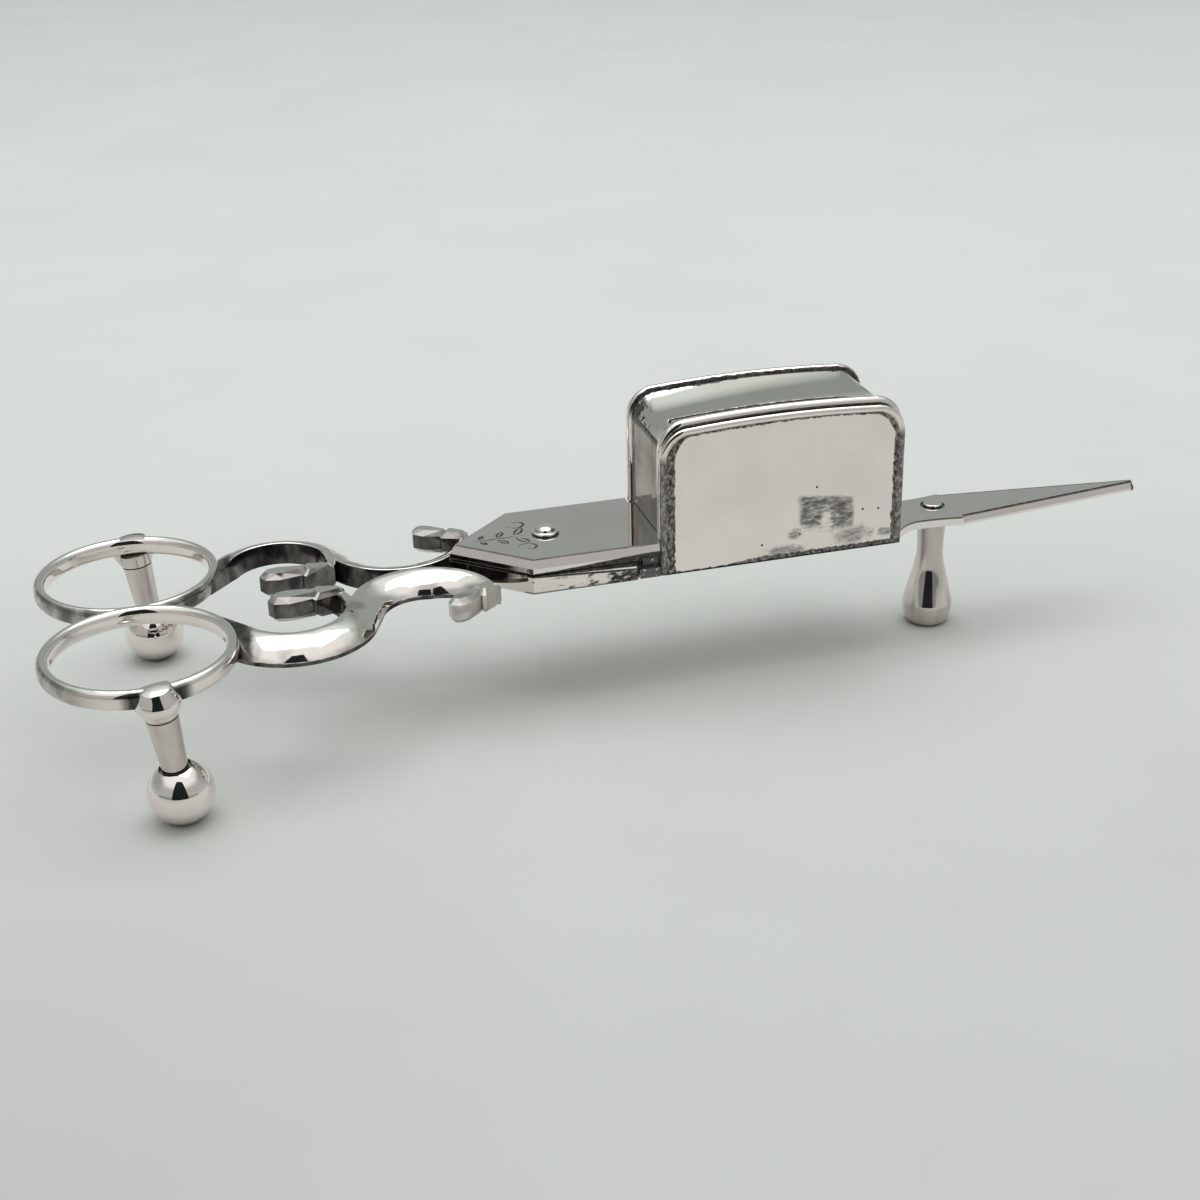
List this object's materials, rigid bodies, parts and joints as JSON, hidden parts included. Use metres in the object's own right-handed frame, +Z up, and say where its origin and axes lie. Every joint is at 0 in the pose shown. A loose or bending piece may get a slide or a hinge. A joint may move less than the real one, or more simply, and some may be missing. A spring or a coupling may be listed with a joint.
{
  "type": "candle snuffer scissors",
  "caption": "Scissor-shaped candle snuffer with a snuff box on one arm, a press plate on the other, a long point, scrolled handles with finger bows and small feet.",
  "frame": {"origin": "on the table under the middle of the snuffer's length and width", "axes": "+X towards the point, +Y towards the press plate's side of the box, +Z up from the table"},
  "size_m": [0.1778, 0.0618, 0.0441],
  "materials": {
    "handle_silver": "mirror-polished silver plate with fine polishing scratches and tarnish in the seams",
    "blade_silver": "polished silver plate over steel, finely scratched and engraved, plate worn off the edges",
    "box_silver": "polished silver plate, softly dented, dark in the corners",
    "worn_silver": "silver foil over steel, lifted and worn to dark metal along the edges, with tarnish spots"
  },
  "bodies": {
    "box_arm": {"box_arm_blade": "blade_silver", "box_casing": "box_silver", "box_side_plate": "worn_silver", "box_near_reed": "worn_silver", "box_far_reed": "worn_silver", "front_foot": "handle_silver", "front_foot_rivet": "handle_silver", "pivot_rivet": "handle_silver", "pivot_washer": "handle_silver", "pivot_burr": "blade_silver", "box_arm_shank": "handle_silver", "box_arm_bow": "handle_silver", "box_arm_foot_stem": "handle_silver", "box_arm_foot_ball": "handle_silver"},
    "press_arm": {"press_arm_blade": "blade_silver", "press_plate": "worn_silver", "press_arm_shank": "handle_silver", "press_arm_bow": "handle_silver", "press_arm_foot_stem": "handle_silver", "press_arm_foot_ball": "handle_silver"}
  },
  "joints": [
    {"name": "pivot", "type": "hinge", "parent": "box_arm", "child": "press_arm", "pos_m": [-0.01185, 0, 0.0219], "axis": [0, 0, 1], "range_deg": [0, 40]}
  ]
}
